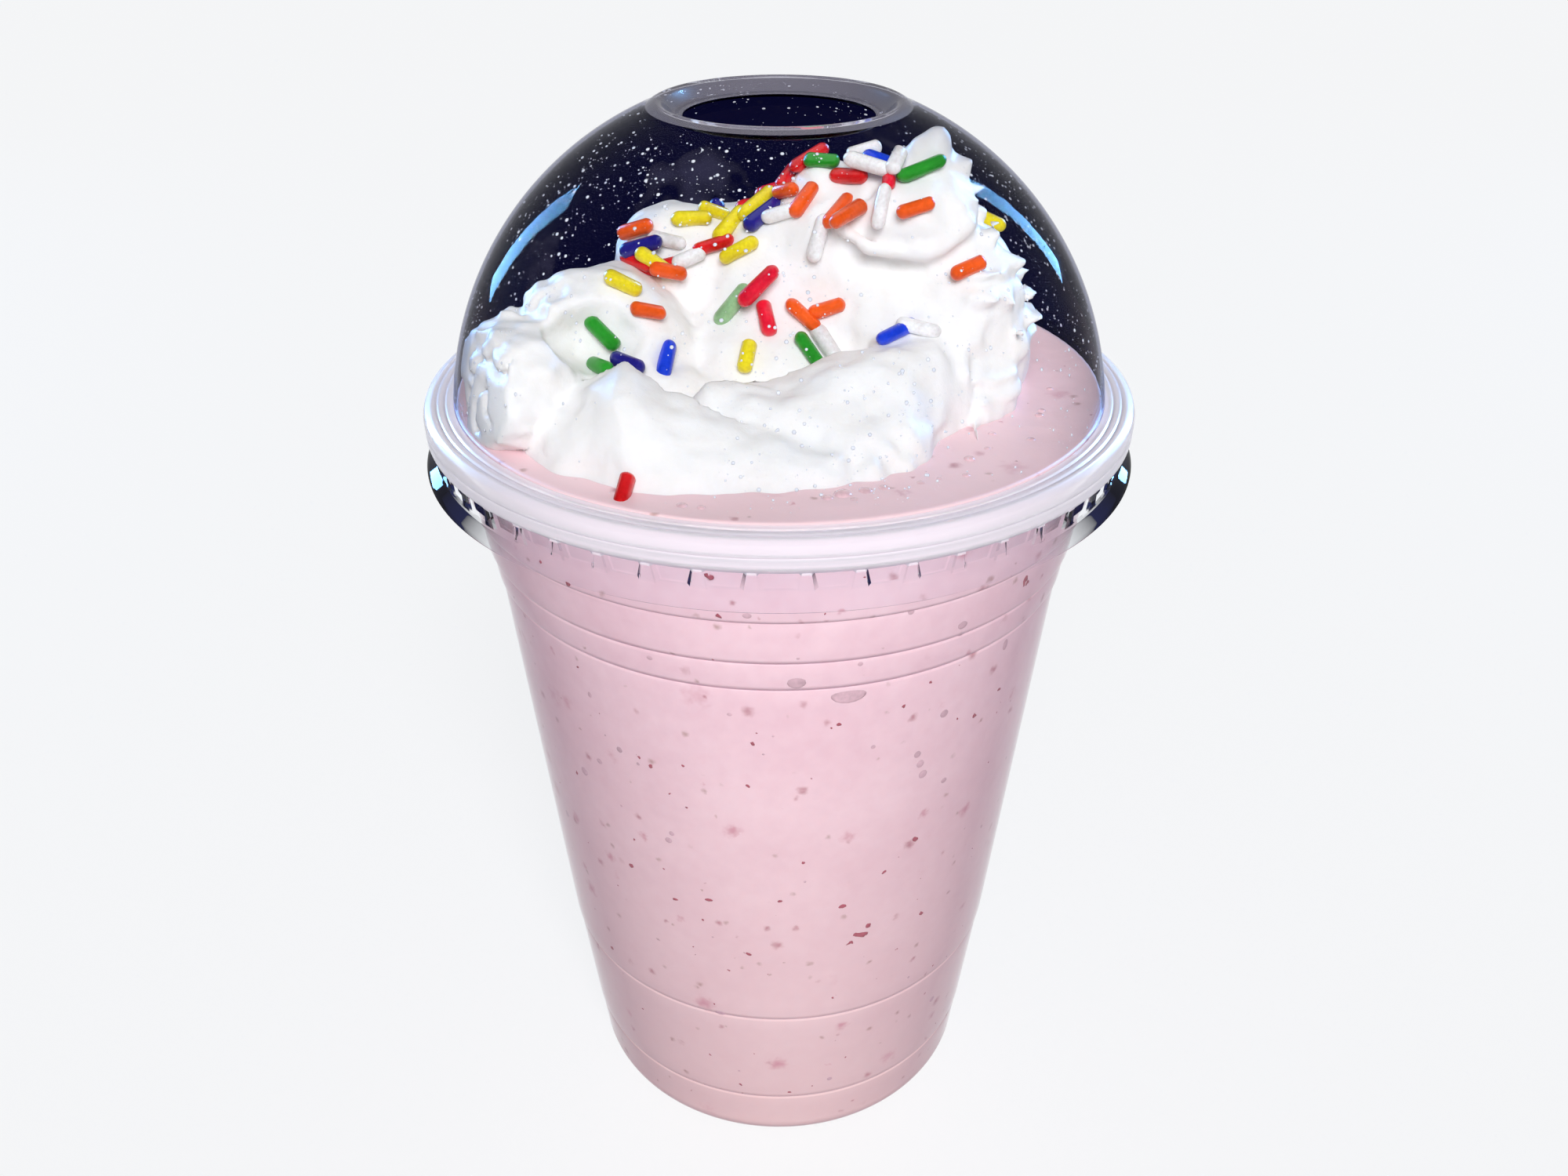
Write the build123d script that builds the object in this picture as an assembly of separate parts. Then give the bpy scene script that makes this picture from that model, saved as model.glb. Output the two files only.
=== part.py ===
from build123d import *

import math
import os

# A milkshake in a clear thermoformed cup, with whipped cream on the drink, under a clear
# press-on dome lid with a round hole. Millimetres, +Z up, origin at the centre of the base.

# --- cup ---
cup_wall = 0.55
stand_inner = 28.4          # flat ring that the cup stands on
stand_outer = 30.6
recess_slope = 1.6          # width of the slope up to the raised middle of the base
recess_height = 3.2
foot_width = 2.3            # rounding from the flat ring out to the wall
foot_height = 3.0
foot_rings = (10.0, 31.1)   # the wall steps outward at each ring: heights of the low ones
rim_rings = (23.0, 18.2, 11.2)      # and depths of the high ones under the wall's top
ring_steps = (0.25, 0.30, 0.50, 0.55, 0.90)
ring_rise = 0.7             # height over which a step is made
band_tapers = (0.115, 0.115, 0.099, 0.12, 0.12)     # radius gained per mm, under each ring
top_taper = 0.14            # and over the last ring
wall_top = 122.4            # where the wall turns out into the rim
rim_width = 3.2             # how far the turned-down rim stands out from the wall
rim_height = 3.5
rim_round = 1.1

# --- lid ---
lid_wall = 0.45
rim_gap = 0.15              # air between the cup's rim and the bead round it
bead_round = 1.2
bead_below = 0.35           # the bead's lower edge, under the rim's
foot_offset = 0.0           # outside of the dome's foot, from the inner edge of the rim
dome_sink = 5.2             # the middle of the dome's sphere, under the shelf
collar_radius = 18.0        # outer crease of the rounded collar round the hole
collar_width = 2.6          # from that crease to the collar's inner crease
collar_rise = 0.8           # top of the collar above its creases
hole_radius = 13.05
hole_drop = 1.1             # edge of the hole below the collar's inner crease
neck_inset = 1.1            # the skirt starts this far inside the bead
neck_drop = 0.5
skirt_height = 2.9
skirt_taper = 0.25          # radius that the skirt loses going down
lip_height = 1.7
lip_flare = 1.75
lug_count = 48              # lugs round the inside of the skirt
lug_width = 3.7
lug_depth = 0.8
lug_margin = 0.3            # bare skirt above and below a lug

# --- contents ---
wall_clearance = 0.04       # drink to cup
drink_rise = 0.6            # surface of the drink above the cup's rim
drink_inset = 0.12          # drink to the inside of the dome's foot
drink_shoulder = 0.3        # and its step inward, under the cup's rim
cream_gap = 0.4             # cream to the inside of the dome

# Lobes of the cream: place of the middle, its height above the drink, and half sizes.
cream_lobes = {
    "front": ((-8.0, -21.0, 2.0), (29.0, 16.0, 13.0)),
    "front_right": ((12.0, -19.0, 3.0), (15.0, 12.0, 13.0)),
    "left": ((-25.0, -7.0, 6.0), (13.5, 14.0, 14.5)),
    "left_back": ((-15.0, 11.0, 9.0), (16.0, 15.0, 15.5)),
    "middle": ((0.0, 4.0, 8.0), (17.0, 18.0, 15.0)),
    "peak": ((20.0, 0.0, 15.0), (12.5, 12.0, 20.0)),
    "right": ((26.0, 2.0, 5.0), (12.5, 16.0, 15.0)),
    "right_back": ((16.0, 19.0, 6.0), (17.0, 15.0, 17.0)),
    "back": ((-6.0, 24.0, 4.0), (22.0, 14.0, 15.0)),
}
fold_thickness = 5.0        # the rolled fold that lies across the front of the cream
fold_ends = ((-27.0, -17.0, 14.0), (22.0, -14.0, 13.0))
fold_middle = (-3.0, -26.0, 12.0)


def lathe(*edges):
    return revolve(make_face(Plane.XZ * (Curve() + list(edges))), Axis.Z)


def cup_bands():
    # Outside of the cup's side as points of radius and height, from the foot to the wall's top.
    radius, height = stand_outer + foot_width, foot_height
    points = [(radius, height)]
    rings = [*foot_rings, *[wall_top - depth for depth in rim_rings]]
    for ring, step, taper in zip(rings, ring_steps, band_tapers):
        radius += taper * (ring - height)
        points.append((radius, ring))
        radius, height = radius + step, ring + ring_rise
        points.append((radius, height))
    points.append((radius + top_taper * (wall_top - height), wall_top))
    return points


bands = cup_bands()
wall_radius = bands[-1][0]
rim_radius = wall_radius + rim_width
rim_top = wall_top + rim_height

foot_radius = wall_radius - cup_wall + foot_offset
shelf_top = rim_top + lid_wall
dome_middle = shelf_top - dome_sink
dome_radius = math.hypot(foot_radius, dome_sink)
bead_radius = rim_radius + rim_gap + lid_wall
bead_bottom = wall_top - bead_below
neck_radius = bead_radius - neck_inset
drink_top = rim_top + drink_rise
diagonal = math.sin(math.radians(45))


def dome_height(radius, inset=0.0):
    # Height of the dome at a distance from the axis, on its outside or inset from it.
    return dome_middle + math.sqrt((dome_radius - inset) ** 2 - radius**2)


def cup_side(inset, top):
    # The cup from the axis up to the given height, on its outside or inset from it.
    width, height = foot_width - inset, foot_height - inset
    side = [(radius - inset, level) for radius, level in bands]
    side.append((wall_radius - inset, top))
    return [
        Polyline(
            (0, recess_height + inset),
            (stand_inner - recess_slope + inset, recess_height + inset),
            (stand_inner + inset, inset),
            (stand_outer, inset),
        ),
        ThreePointArc(
            (stand_outer, inset),
            (stand_outer + width * diagonal, inset + height * (1 - diagonal)),
            side[0],
        ),
        Polyline(*side),
    ]


def make_cup():
    # The rim is turned out and down, open underneath.
    under_rim = rim_top - cup_wall
    corner = rim_round * (1 - diagonal)
    return lathe(
        *cup_side(0, under_rim),
        Polyline(
            (wall_radius, under_rim),
            (rim_radius - cup_wall, under_rim),
            (rim_radius - cup_wall, wall_top),
            (rim_radius, wall_top),
            (rim_radius, rim_top - rim_round),
        ),
        ThreePointArc(
            (rim_radius, rim_top - rim_round),
            (rim_radius - corner, rim_top - corner),
            (rim_radius - rim_round, rim_top),
        ),
        Line((rim_radius - rim_round, rim_top), (wall_radius - cup_wall, rim_top)),
        *cup_side(cup_wall, rim_top),
        Line((0, recess_height), (0, recess_height + cup_wall)),
    )


def make_lid():
    # A solid of the lid's outside, hollowed from below and bored through the top.
    crease = dome_height(collar_radius)
    inner_crease = collar_radius - collar_width
    plate = crease - hole_drop
    half_way = (foot_radius + collar_radius) / 2
    corner = bead_round * (1 - diagonal)
    skirt_top = bead_bottom - neck_drop
    skirt_bottom = skirt_top - skirt_height
    lip_radius = neck_radius - skirt_taper + lip_flare
    lip_bottom = skirt_bottom - lip_height
    outside = lathe(
        Polyline((0, plate), (inner_crease - hole_drop, plate), (inner_crease, crease)),
        ThreePointArc(
            (inner_crease, crease),
            (collar_radius - collar_width / 2, crease + collar_rise),
            (collar_radius, crease),
        ),
        ThreePointArc(
            (collar_radius, crease),
            (half_way, dome_height(half_way)),
            (foot_radius, shelf_top),
        ),
        Line((foot_radius, shelf_top), (bead_radius - bead_round, shelf_top)),
        ThreePointArc(
            (bead_radius - bead_round, shelf_top),
            (bead_radius - corner, shelf_top - corner),
            (bead_radius, shelf_top - bead_round),
        ),
        Polyline(
            (bead_radius, shelf_top - bead_round),
            (bead_radius, bead_bottom),
            (neck_radius, skirt_top),
            (neck_radius - skirt_taper, skirt_bottom),
            (lip_radius, lip_bottom),
            (0, lip_bottom),
            (0, plate),
        ),
    )
    floor = outside.faces().sort_by(Axis.Z)[0]
    shell = offset(outside, amount=-lid_wall, openings=floor, kind=Kind.INTERSECTION)
    shell -= Pos(0, 0, plate) * Cylinder(hole_radius, 4 * lid_wall)
    lug_height = skirt_height - 2 * lug_margin
    lug_middle = neck_radius - skirt_taper / 2 - lid_wall / 2 - lug_depth / 2
    lug = Box(lug_depth, lug_width, lug_height)
    around = PolarLocations(lug_middle, lug_count)
    lift = Pos(0, 0, (skirt_top + skirt_bottom) / 2)
    return shell + [lift * place * lug for place in around]


def make_drink():
    inset = cup_wall + wall_clearance
    shoulder = rim_top - drink_shoulder
    top_radius = foot_radius - lid_wall - drink_inset
    return lathe(
        *cup_side(inset, shoulder),
        Polyline(
            (wall_radius - inset, shoulder),
            (top_radius, shoulder),
            (top_radius, drink_top),
            (0, drink_top),
            (0, recess_height + inset),
        ),
    )


def make_cream():
    # Lobes and one rolled fold, cut level with the drink and kept inside the dome.
    level = Pos(0, 0, drink_top)
    heap = [
        level * Pos(*middle) * scale(Sphere(1), by=half_sizes)
        for middle, half_sizes in cream_lobes.values()
    ]
    path = ThreePointArc(fold_ends[0], fold_middle, fold_ends[1])
    ring = Plane(origin=path @ 0, z_dir=path % 0) * Circle(fold_thickness)
    fold = sweep(ring, path=path)
    heap += [level * fold]
    heap += [level * Pos(*end) * Sphere(fold_thickness) for end in fold_ends]
    cream = heap[0].fuse(*heap[1:])
    room = Pos(0, 0, dome_middle) * Sphere(dome_radius - lid_wall - cream_gap)
    above = level * Cylinder(
        dome_radius, 2 * dome_radius, align=(Align.CENTER, Align.CENTER, Align.MIN)
    )
    return cream & room & above


nodes = {
    "cup": make_cup(),
    "lid": make_lid(),
    "milkshake": make_drink(),
    "whipped_cream": make_cream(),
}
os.makedirs("parts", exist_ok=True)
for name, piece in nodes.items():
    solids = piece.solids()
    print(name, len(solids), "solid", round(piece.volume), "mm3", piece.bounding_box().size)
    export_step(Compound(children=[*solids]) if len(solids) > 1 else solids[0], f"parts/{name}.step")
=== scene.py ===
import bpy
import math
import numpy as np
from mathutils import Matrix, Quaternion, Vector
from mathutils.bvhtree import BVHTree


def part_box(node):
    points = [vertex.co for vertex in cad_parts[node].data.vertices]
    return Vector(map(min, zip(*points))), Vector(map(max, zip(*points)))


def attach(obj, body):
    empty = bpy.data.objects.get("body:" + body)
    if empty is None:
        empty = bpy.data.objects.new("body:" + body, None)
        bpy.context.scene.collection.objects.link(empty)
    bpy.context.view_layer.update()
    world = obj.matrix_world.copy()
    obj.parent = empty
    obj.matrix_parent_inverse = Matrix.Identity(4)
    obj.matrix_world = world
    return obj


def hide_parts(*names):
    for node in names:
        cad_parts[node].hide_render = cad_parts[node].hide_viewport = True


# A milkshake in a clear cup: clear shell, press-on dome lid, shake, whipped cream, sprinkles.
# Sizes are in millimetres until a mesh is made, and metres from then on.

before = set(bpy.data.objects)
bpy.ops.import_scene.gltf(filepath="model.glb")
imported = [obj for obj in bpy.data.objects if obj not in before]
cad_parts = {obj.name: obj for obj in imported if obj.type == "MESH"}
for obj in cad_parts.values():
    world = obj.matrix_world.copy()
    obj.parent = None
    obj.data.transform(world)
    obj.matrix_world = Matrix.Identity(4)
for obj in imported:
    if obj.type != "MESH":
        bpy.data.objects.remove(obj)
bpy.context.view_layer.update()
mm = 0.001

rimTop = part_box("cup")[1][2] / mm
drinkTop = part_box("milkshake")[1][2] / mm
wholeTurn = 2 * math.pi


def plainMesh(name, verts, faces, smooth=True):
    mesh = bpy.data.meshes.new(name)
    mesh.from_pydata((np.asarray(verts) * mm).tolist(), [], faces)
    mesh.validate()
    if smooth:
        mesh.shade_smooth()
    piece = bpy.data.objects.new(name, mesh)
    bpy.context.scene.collection.objects.link(piece)
    return piece


def roundCorners(points, reach, steps=4):
    # swaps each inner corner of an outline for a short curve
    points = [np.array(point, float) for point in points]
    path = [points[0]]
    for before, corner, after in zip(points, points[1:], points[2:]):
        back, on = before - corner, after - corner
        cut = min(reach, 0.45 * np.linalg.norm(back), 0.45 * np.linalg.norm(on))
        start = corner + back / np.linalg.norm(back) * cut
        end = corner + on / np.linalg.norm(on) * cut
        for t in np.linspace(0, 1, steps + 1):
            path.append((1 - t) ** 2 * start + 2 * t * (1 - t) * corner + t * t * end)
    return path + [points[-1]]


def divide(path, longest):
    # adds points on long runs, so that smooth shading stays even
    fine = [path[0]]
    for a, b in zip(path, path[1:]):
        count = max(1, math.ceil(np.linalg.norm(b - a) / longest))
        fine += [a + (b - a) * step / count for step in range(1, count + 1)]
    return fine


def sideways(path):
    # the direction square to the outline at each point, longer at a corner so a wall stays even
    path = np.array(path)
    runs = np.diff(path, axis=0)
    runs /= np.maximum(np.linalg.norm(runs, axis=1, keepdims=True), 1e-9)
    square = np.stack([-runs[:, 1], runs[:, 0]], axis=1)
    first = np.vstack([square[:1], square])
    last = np.vstack([square, square[-1:]])
    middle = first + last
    middle /= np.linalg.norm(middle, axis=1, keepdims=True)
    stretch = 1 / np.clip((middle * first).sum(axis=1, keepdims=True), 0.6, 1)
    return middle * stretch


def spin(name, loop, angles, closed, bend=None):
    # turns an outline of radius and height round the axis; closed joins its end to its start
    loop = np.array(loop)
    verts, rings = [], []
    for index, (radius, height) in enumerate(loop):
        if radius < 1e-6:
            rings.append([len(verts)])
            verts.append((0.0, 0.0, height))
            continue
        ring = np.stack([angles, np.full_like(angles, radius), np.full_like(angles, height)], 1)
        if bend is not None:
            ring = bend(index, ring)
        rings.append(list(range(len(verts), len(verts) + len(angles))))
        verts += np.stack(
            [ring[:, 1] * np.cos(ring[:, 0]), ring[:, 1] * np.sin(ring[:, 0]), ring[:, 2]], 1
        ).tolist()
    faces = []
    pairs = list(zip(rings, rings[1:]))
    if closed:
        pairs.append((rings[-1], rings[0]))
    for low, high in pairs:
        count = max(len(low), len(high))
        if len(low) == len(high) == 1:
            continue
        for k in range(count):
            n = (k + 1) % count
            if len(low) == 1:
                faces.append((low[0], high[n], high[k]))
            elif len(high) == 1:
                faces.append((low[k], low[n], high[0]))
            else:
                faces.append((low[k], low[n], high[n], high[k]))
    piece = plainMesh(name, verts, faces)
    faceOutward(piece)
    return piece


def faceOutward(piece):
    mesh = piece.data
    mesh.calc_loop_triangles()
    corners = np.empty(len(mesh.vertices) * 3)
    mesh.vertices.foreach_get("co", corners)
    corners = corners.reshape(-1, 3)
    triangles = np.array([t.vertices[:] for t in mesh.loop_triangles])
    a, b, c = (corners[triangles[:, k]] for k in range(3))
    if (a * np.cross(b, c)).sum() < 0:
        mesh.flip_normals()


def shell(name, path, wall, angles, bend=None):
    # a sheet of even thickness along an outline, spun round the axis
    path = np.array(path)
    inside = path + sideways(path) * wall
    inside[path[:, 0] < 1e-6, 0] = 0
    loop = np.vstack([path, inside[::-1]])
    return spin(name, loop, angles, True, bend)


def latticeNoise(x, y, z, cell, seed):
    # smooth random values from -1 to 1 that change over about one cell
    size = 32
    table = np.random.default_rng(seed).uniform(-1, 1, (size, size, size)).astype(np.float32)
    parts = []
    for axis in (x, y, z):
        place = np.asarray(axis, np.float32) / cell + 100 * size
        low = np.floor(place).astype(np.int32)
        t = place - low
        parts.append((low % size, (low + 1) % size, t * t * (3 - 2 * t)))
    (x0, x1, tx), (y0, y1, ty), (z0, z1, tz) = parts
    total = 0
    for xi, wx in ((x0, 1 - tx), (x1, tx)):
        for yi, wy in ((y0, 1 - ty), (y1, ty)):
            for zi, wz in ((z0, 1 - tz), (z1, tz)):
                total = total + table[xi, yi, zi] * wx * wy * wz
    return total


def surfaceNet(field, origin, step):
    # a quad mesh of the zero surface of a sampled field, negative inside
    inside = field < 0
    nx, ny, nz = field.shape
    corners = [(i, j, k) for i in (0, 1) for j in (0, 1) for k in (0, 1)]
    cells = [inside[i:nx - 1 + i, j:ny - 1 + j, k:nz - 1 + k] for i, j, k in corners]
    count = sum(cell.astype(np.int8) for cell in cells)
    mixed = (count > 0) & (count < 8)
    where = np.argwhere(mixed)
    number = np.full(mixed.shape, -1, np.int64)
    number[mixed] = np.arange(len(where))
    total = np.zeros((len(where), 3))
    hits = np.zeros(len(where))
    for a in corners:
        for axis in range(3):
            if a[axis]:
                continue
            b = tuple(v + (n == axis) for n, v in enumerate(a))
            fa = field[where[:, 0] + a[0], where[:, 1] + a[1], where[:, 2] + a[2]]
            fb = field[where[:, 0] + b[0], where[:, 1] + b[1], where[:, 2] + b[2]]
            crossed = (fa < 0) != (fb < 0)
            t = np.where(crossed, fa / np.where(crossed, fa - fb, 1), 0)
            point = np.array(a, float)[None] + t[:, None] * (np.array(b) - np.array(a))[None]
            total[crossed] += point[crossed]
            hits[crossed] += 1
    verts = np.array(origin) + step * (where + total / hits[:, None])
    faces = []
    for axis in range(3):
        u, v = [(1, 2), (2, 0), (0, 1)][axis]
        low = np.take(inside, range(field.shape[axis] - 1), axis)
        high = np.take(inside, range(1, field.shape[axis]), axis)
        edges = np.argwhere(low != high)
        edges = edges[(edges[:, u] > 0) & (edges[:, v] > 0)]
        limit = np.array(mixed.shape)
        edges = edges[(edges < limit).all(axis=1)]
        quad = []
        for du, dv in ((0, 0), (1, 0), (1, 1), (0, 1)):
            cell = edges.copy()
            cell[:, u] -= du
            cell[:, v] -= dv
            quad.append(number[cell[:, 0], cell[:, 1], cell[:, 2]])
        quad = np.stack(quad, axis=1)
        leaving = inside[edges[:, 0], edges[:, 1], edges[:, 2]]
        quad[leaving] = quad[leaving][:, ::-1]
        faces.append(quad[(quad >= 0).all(axis=1)])
    return verts, np.vstack(faces)


def setInputs(tree, made, inputs):
    # an input takes a socket to join, a colour of three values, or a plain value
    for key, value in inputs.items():
        socket = made.inputs[key]
        if isinstance(value, bpy.types.NodeSocket):
            tree.links.new(value, socket)
        elif socket.type == "RGBA":
            socket.default_value = (*value, 1)
        else:
            socket.default_value = value


def addNode(tree, kind, inputs=None, **values):
    # nodes are laid out in rows of eight
    made = tree.nodes.new(kind)
    row, column = divmod(len(tree.nodes), 8)
    made.location = 220 * column, -320 * row
    for key, value in values.items():
        setattr(made, key, value)
    setInputs(tree, made, inputs or {})
    return made


def mathNode(tree, operation, first, second):
    return addNode(tree, "ShaderNodeMath", {0: first, 1: second}, operation=operation).outputs[0]


def centreAndScale(tree, colour, amount):
    # turns a noise's colour into a shift that goes both ways
    centred = addNode(
        tree, "ShaderNodeVectorMath", {0: colour, 1: (0.5, 0.5, 0.5)}, operation="SUBTRACT"
    ).outputs[0]
    scaled = addNode(tree, "ShaderNodeVectorMath", {0: centred, "Scale": amount}, operation="SCALE")
    return scaled.outputs[0]


def mapRange(tree, value, start, end, low=0.0, high=1.0, **values):
    return addNode(tree, "ShaderNodeMapRange", {
        "Value": value, "From Min": start, "From Max": end, "To Min": low, "To Max": high,
    }, **values).outputs["Result"]


def mixColour(tree, factor, first, second):
    return addNode(
        tree, "ShaderNodeMix", {"Factor": factor, "A": first, "B": second}, data_type="RGBA"
    ).outputs["Result"]


def mixShader(tree, factor, first, second):
    return addNode(tree, "ShaderNodeMixShader", {0: factor, 1: first, 2: second}).outputs[0]


def colourRamp(tree, value, stops):
    ramp = addNode(tree, "ShaderNodeValToRGB", {0: value})
    for element, (position, colour) in zip(ramp.color_ramp.elements, stops):
        element.position = position
        element.color = (*colour, 1)
    return ramp.outputs["Color"]


def relief(tree, height, strength, distance):
    inputs = {"Height": height, "Strength": strength, "Distance": distance}
    return addNode(tree, "ShaderNodeBump", inputs).outputs[0]


def newMaterial(name, inputs=None):
    material = bpy.data.materials.new(name)
    material.use_nodes = True
    tree = material.node_tree
    tree.nodes.clear()
    surface = addNode(tree, "ShaderNodeBsdfPrincipled", inputs)
    addNode(tree, "ShaderNodeOutputMaterial", {"Surface": surface.outputs[0]})
    return material, tree, surface


def showInstead(tree, shader):
    # puts a mixed shader in the plain surface's place
    output = next(made for made in tree.nodes if made.type == "OUTPUT_MATERIAL")
    tree.links.new(shader, output.inputs["Surface"])


def newGroup(name, numbers, results):
    # a shader group of a place and some numbers, which puts out other numbers
    group = bpy.data.node_groups.new(name, "ShaderNodeTree")
    face = group.interface
    face.new_socket("Vector", in_out="INPUT", socket_type="NodeSocketVector")
    for title, value in numbers.items():
        face.new_socket(title, in_out="INPUT", socket_type="NodeSocketFloat").default_value = value
    for title in results:
        face.new_socket(title, in_out="OUTPUT", socket_type="NodeSocketFloat")
    return group, addNode(group, "NodeGroupInput").outputs


def buildMottleGroup():
    # slow and fast variation mixed: a value round a half for colour, and a height for relief
    group, start = newGroup(
        "mottle", {"Coarse Scale": 60.0, "Fine Scale": 700.0, "Fine Share": 0.3}, ("Value", "Height")
    )
    coarse, fine = [
        addNode(group, "ShaderNodeTexNoise", {
            "Vector": start["Vector"], "Scale": start[scale], "Detail": detail,
        }).outputs["Fac"]
        for scale, detail in (("Coarse Scale", 4), ("Fine Scale", 3))
    ]
    blend = addNode(group, "ShaderNodeMix", {"Factor": start["Fine Share"], "A": coarse, "B": fine})
    addNode(group, "NodeGroupOutput", {"Value": blend.outputs["Result"], "Height": fine})
    return group


def buildSpeckGroup():
    # scattered soft spots of uneven size: 1 in a spot's middle, 0 between the spots
    group, start = newGroup(
        "specks", {"Scale": 200.0, "Size": 0.2, "Share": 0.3, "Ragged": 0.002}, ("Mask", "Random")
    )
    ripple = addNode(group, "ShaderNodeTexNoise", {"Vector": start["Vector"], "Scale": 900})
    shift = centreAndScale(group, ripple.outputs["Color"], start["Ragged"])
    moved = addNode(group, "ShaderNodeVectorMath", {0: start["Vector"], 1: shift}, operation="ADD")
    cells = addNode(group, "ShaderNodeTexVoronoi", {"Vector": moved.outputs[0], "Scale": start["Scale"]})
    split = addNode(group, "ShaderNodeSeparateColor", {0: cells.outputs["Color"]}).outputs
    size = mathNode(group, "MULTIPLY", split[0], start["Size"])
    chosen = mathNode(group, "LESS_THAN", split[1], start["Share"])
    limit = mathNode(group, "MULTIPLY", size, chosen)
    mask = mapRange(group, cells.outputs["Distance"], 0, limit, 1, 0, interpolation_type="SMOOTHSTEP")
    addNode(group, "NodeGroupOutput", {"Mask": mask, "Random": split[2]})
    return group


mottle = buildMottleGroup()
specks = buildSpeckGroup()


def useGroup(tree, group, **values):
    # an underscore stands for a space in an input's name
    inputs = {name.replace("_", " "): value for name, value in values.items()}
    inputs["Vector"] = addNode(tree, "ShaderNodeTexCoord").outputs["Object"]
    return addNode(tree, "ShaderNodeGroup", inputs, node_tree=group).outputs


def useMottle(tree, coarse, fine, share):
    return useGroup(tree, mottle, Coarse_Scale=coarse, Fine_Scale=fine, Fine_Share=share)


def mottledMaterial(name, scales, stops, inputs, bump=None):
    # colour that varies between two; bump is what the relief follows, its strength and distance
    material, tree, surface = newMaterial(name, inputs)
    marks = useMottle(tree, *scales)
    setInputs(tree, surface, {"Base Color": colourRamp(tree, marks["Value"], stops)})
    if bump is not None:
        height, strength, distance = bump
        setInputs(tree, surface, {"Normal": relief(tree, marks[height], strength, distance)})
    return material


def clearPlastic(name, tint, ior, edge=None, beyond=None, haze=0.0, hazeColour=(1, 1, 1)):
    # Clear sheet that lets lamp light through, with a little white haze in it. The colour turns to
    # edge at a slant, as painted shade for clear plastic seen at a grazing angle, and to beyond where
    # the sheet is met from inside, as on its far side, as painted darkness for a dark background seen
    # through it.
    material, tree, surface = newMaterial(name, {"Transmission Weight": 1, "IOR": ior})
    colour = tint
    if edge is not None:
        slantShadeColour, start, full = edge
        # painted shade: the sheet gets darker where it is seen at a slant
        slant = addNode(tree, "ShaderNodeLayerWeight", {"Blend": 0.5}).outputs["Facing"]
        colour = mixColour(tree, mapRange(tree, slant, start, full), tint, slantShadeColour)
    if beyond is not None:
        # painted darkness on the far side, standing in for a dark background seen through the clear sheet
        farSideShade = colourRamp(tree, useMottle(tree, 24.0, 110.0, 0.3)["Value"], beyond)
        side = addNode(tree, "ShaderNodeNewGeometry").outputs["Backfacing"]
        colour = mixColour(tree, side, farSideShade, tint)
    marks = useMottle(tree, 90.0, 1500.0, 0.4)["Value"]
    rough = mapRange(tree, marks, 0.4, 0.7, 0.015, 0.05)
    setInputs(tree, surface, {"Base Color": colour, "Roughness": rough})
    last = surface.outputs[0]
    if haze > 0:
        milky = addNode(tree, "ShaderNodeBsdfPrincipled", {"Base Color": hazeColour, "Roughness": 0.3})
        last = mixShader(tree, haze, last, milky.outputs[0])
    passing = [0.5 + 0.5 * value for value in tint]
    through = addNode(tree, "ShaderNodeBsdfTransparent", {"Color": passing}).outputs[0]
    light = addNode(tree, "ShaderNodeLightPath").outputs
    for ray in ("Is Shadow Ray", "Is Diffuse Ray"):
        last = mixShader(tree, light[ray], last, through)
    showInstead(tree, last)
    return material


cup = dict(
    wall=0.55, standInner=28.4, standOuter=30.6, recessSlope=1.6, recessHeight=3.2,
    footWidth=2.3, footHeight=3.0,
    footRings=(10.0, 31.1), rimRings=(23.0, 18.2, 11.2),
    ringSteps=(0.25, 0.30, 0.50, 0.55, 0.90), ringRise=0.7, ringDent=0.16,
    tapers=(0.115, 0.115, 0.099, 0.12, 0.12, 0.14),
    rimHeight=3.5, rimWidth=3.2, curl=0.9, around=288,
    baseSteps=(0.35, 0.37, 0.62, 0.64), stepDepth=0.35,     # shares of the recess, and how deep the ring is
    # painted shade at a slant that darkens the cup's sides, and the slants where it starts and is full
    edge=((0.4, 0.33, 0.4), 0.2, 0.68),
)
cup["wallTop"] = rimTop - cup["rimHeight"]
cupAngles = np.arange(cup["around"]) * wholeTurn / cup["around"]


def cupSide():
    # outside of the wall from the foot to the rim: radius and height at each corner
    radius, height = cup["standOuter"] + cup["footWidth"], cup["footHeight"]
    points = [(radius, height)]
    rings = [*cup["footRings"], *[cup["wallTop"] - depth for depth in cup["rimRings"]]]
    for ring, step, taper in zip(rings, cup["ringSteps"], cup["tapers"]):
        radius += taper * (ring - height)
        points.append((radius, ring - 0.2))
        points.append((radius - cup["ringDent"], ring + 0.1))
        radius, height = radius + step, ring + cup["ringRise"]
        points.append((radius, height))
    points.append((radius + cup["tapers"][-1] * (cup["wallTop"] - height), cup["wallTop"]))
    return points


sidePoints = cupSide()
wallRadius = sidePoints[-1][0]


def cupFloor():
    recess = cup["standInner"] - cup["recessSlope"]
    high = cup["recessHeight"]
    low = high - cup["stepDepth"]
    ring = [(recess * share, level) for share, level in zip(cup["baseSteps"], (high, low, low, high))]
    return [(0, high), *ring, (recess, high), (cup["standInner"], 0), (cup["standOuter"], 0)]


def footArc(steps=8):
    return [
        (
            cup["standOuter"] + cup["footWidth"] * math.sin(turn),
            cup["footHeight"] - cup["footHeight"] * math.cos(turn),
        )
        for turn in np.linspace(0, math.pi / 2, steps + 1)[1:-1]
    ]


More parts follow.
